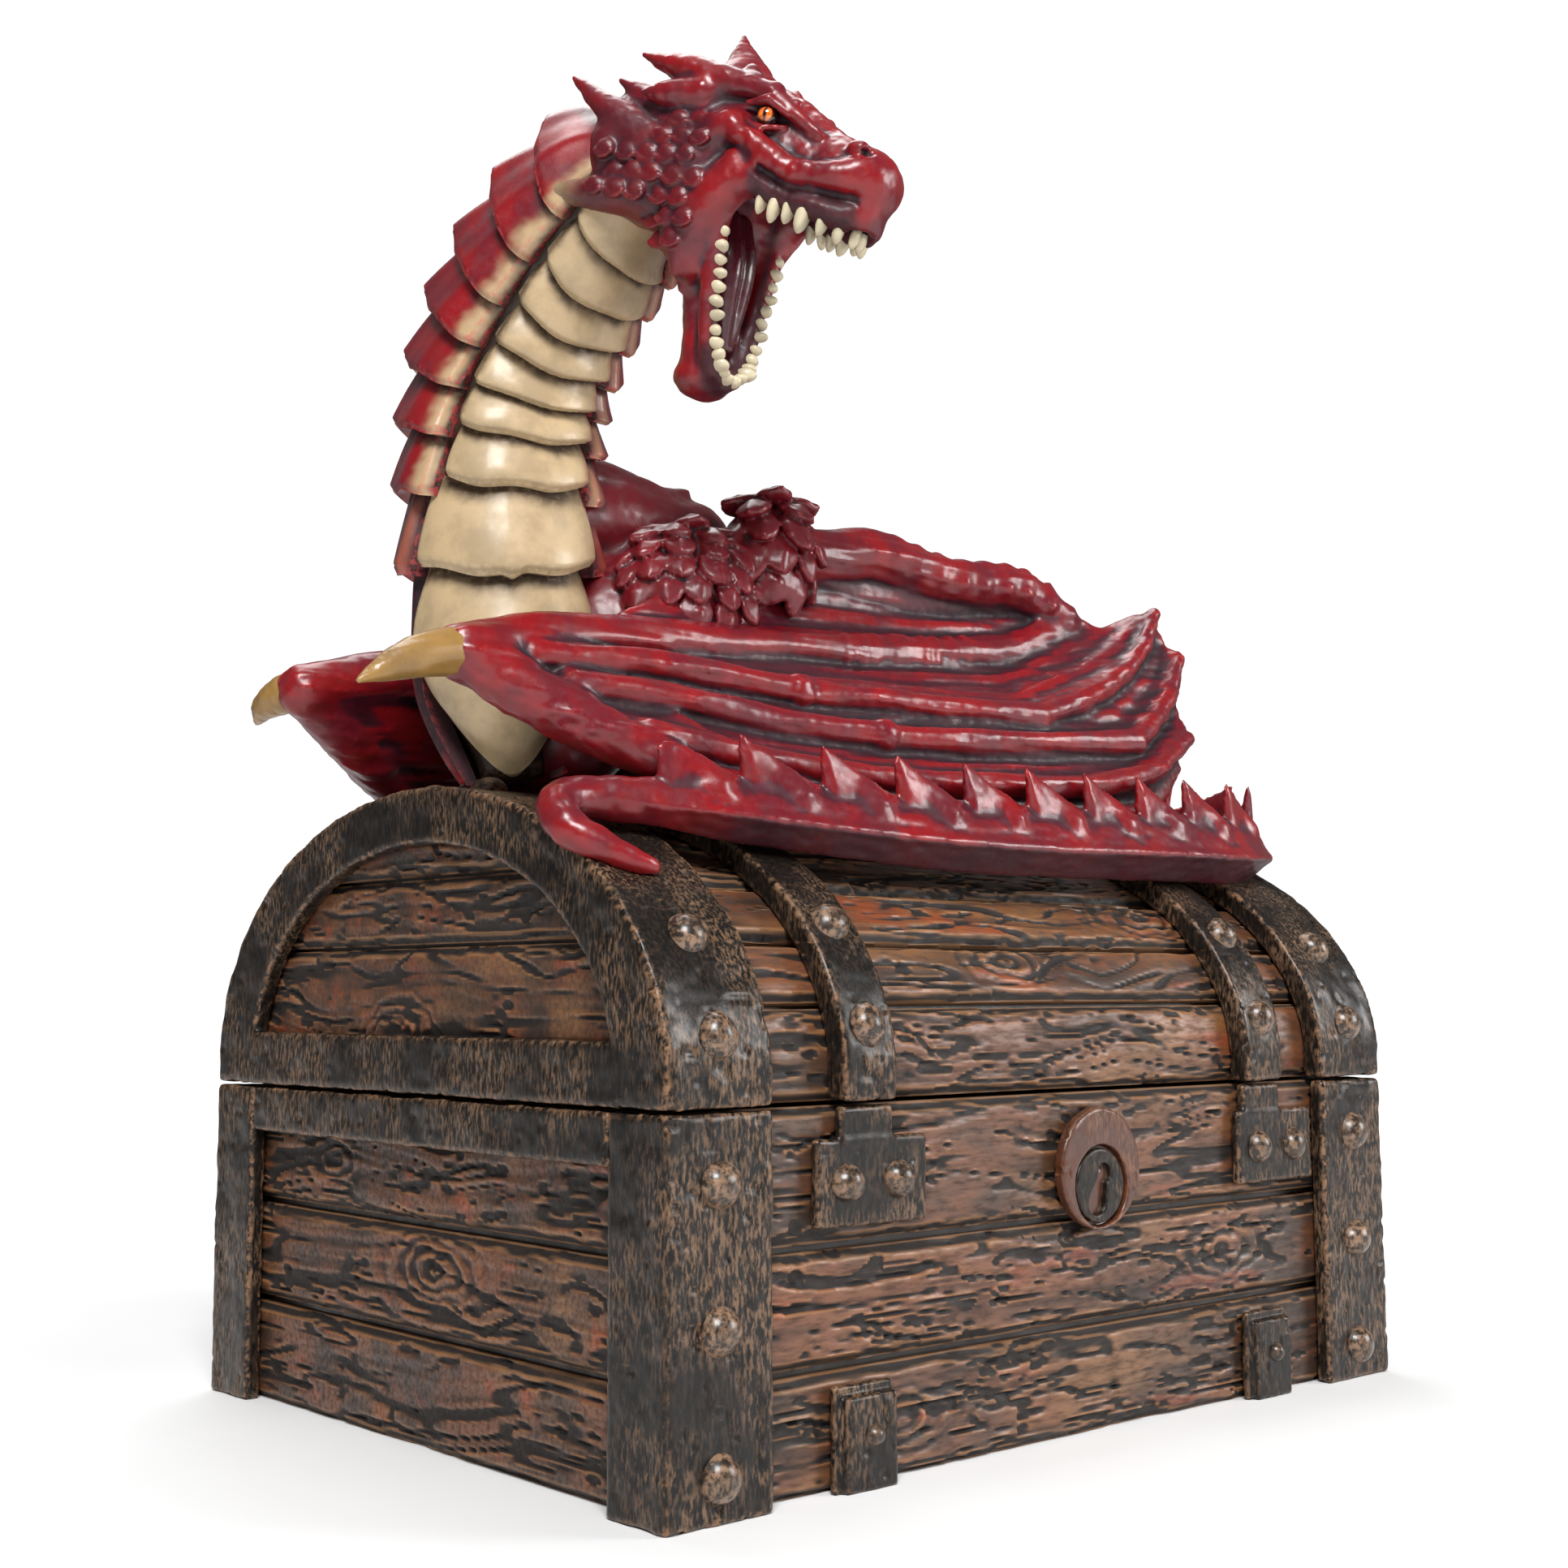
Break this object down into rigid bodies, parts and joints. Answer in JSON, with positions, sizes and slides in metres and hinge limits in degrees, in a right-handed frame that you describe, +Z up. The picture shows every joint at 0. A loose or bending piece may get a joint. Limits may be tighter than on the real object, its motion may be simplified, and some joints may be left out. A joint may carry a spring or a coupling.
{
  "type": "treasure chest dragon bubbler ornament",
  "caption": "Iron-bound treasure chest aquarium bubbler with a hinged lid that air lifts and a winged dragon lying along the lid",
  "frame": {"origin": "centre of the chest's footprint, on the face it stands on", "axes": "+Z up; +X along the chest's long side; the keyhole front faces -Y, so the hinges are on the +Y side"},
  "size_m": [0.1719, 0.1269, 0.1801],
  "materials": {
    "cast_wood": "cast resin painted as dry-brushed wood",
    "cast_core": "dark cast resin",
    "cast_iron_look": "resin painted as black iron, copper dry-brushed",
    "rivet_bronze": "bronze paint",
    "lock_copper": "copper paint",
    "hinge_plastic": "moulded black plastic",
    "pin_steel": "stainless pin",
    "fitting_plastic": "moulded fitting",
    "soft_rubber": "soft seal",
    "hose_soft": "airline hose",
    "bonded_grit": "bonded mineral grit",
    "dragon_red": "crimson paint with a dark wash",
    "dragon_cream": "cream paint with a brown wash",
    "dragon_ivory": "ivory paint",
    "eye_amber": "clear-coated amber"
  },
  "bodies": {
    "base": {"air_hose": "hose_soft", "air_inlet": "fitting_plastic", "air_stone": "bonded_grit", "back_planks": "cast_wood", "base_end_rail_left": "cast_iron_look", "base_end_rail_right": "cast_iron_look", "base_rivets": "rivet_bronze", "base_tub": "cast_core", "bottom_bracket_left": "cast_iron_look", "bottom_bracket_right": "cast_iron_look", "corner_iron_back_left": "cast_iron_look", "corner_iron_back_right": "cast_iron_look", "corner_iron_front_left": "cast_iron_look", "corner_iron_front_right": "cast_iron_look", "front_planks": "cast_wood", "front_plate_left": "cast_iron_look", "front_plate_right": "cast_iron_look", "hinge_base_left": "hinge_plastic", "hinge_base_right": "hinge_plastic", "hinge_pins": "pin_steel", "inlet_gasket": "soft_rubber", "inlet_nut": "fitting_plastic", "keyhole_insert": "cast_iron_look", "left_end_planks": "cast_wood", "lock_escutcheon": "lock_copper", "right_end_planks": "cast_wood", "stone_clips": "fitting_plastic"},
    "lid": {"back_scutes": "dragon_red", "belly_scutes": "dragon_cream", "dragon_tail": "dragon_red", "dragon_torso": "dragon_red", "eyes": "eye_amber", "head_horns": "dragon_ivory", "hinge_lid_left": "hinge_plastic", "hinge_lid_right": "hinge_plastic", "left_wing_arm": "dragon_red", "left_wing_claw": "dragon_ivory", "left_wing_fingers": "dragon_red", "left_wing_membrane": "dragon_red", "lid_end_iron_left": "cast_iron_look", "lid_end_iron_right": "cast_iron_look", "lid_end_planks_left": "cast_wood", "lid_end_planks_right": "cast_wood", "lid_planks": "cast_wood", "lid_rivets": "rivet_bronze", "lid_shell": "cast_core", "lid_strap_left": "cast_iron_look", "lid_strap_right": "cast_iron_look", "lower_jaw": "dragon_red", "lower_teeth": "dragon_ivory", "neck_core": "dragon_red", "right_wing_arm": "dragon_red", "right_wing_claw": "dragon_ivory", "right_wing_fingers": "dragon_red", "right_wing_membrane": "dragon_red", "skull": "dragon_red", "tail_fins": "dragon_red", "tail_tip": "dragon_red", "tongue": "dragon_red", "upper_teeth": "dragon_ivory"}
  },
  "joints": [
    {"name": "lid_hinge", "type": "hinge", "parent": "base", "child": "lid", "pos_m": [0, 0.0566, 0.04455], "axis": [-1, 0, 0], "range_deg": [0, 35]}
  ]
}
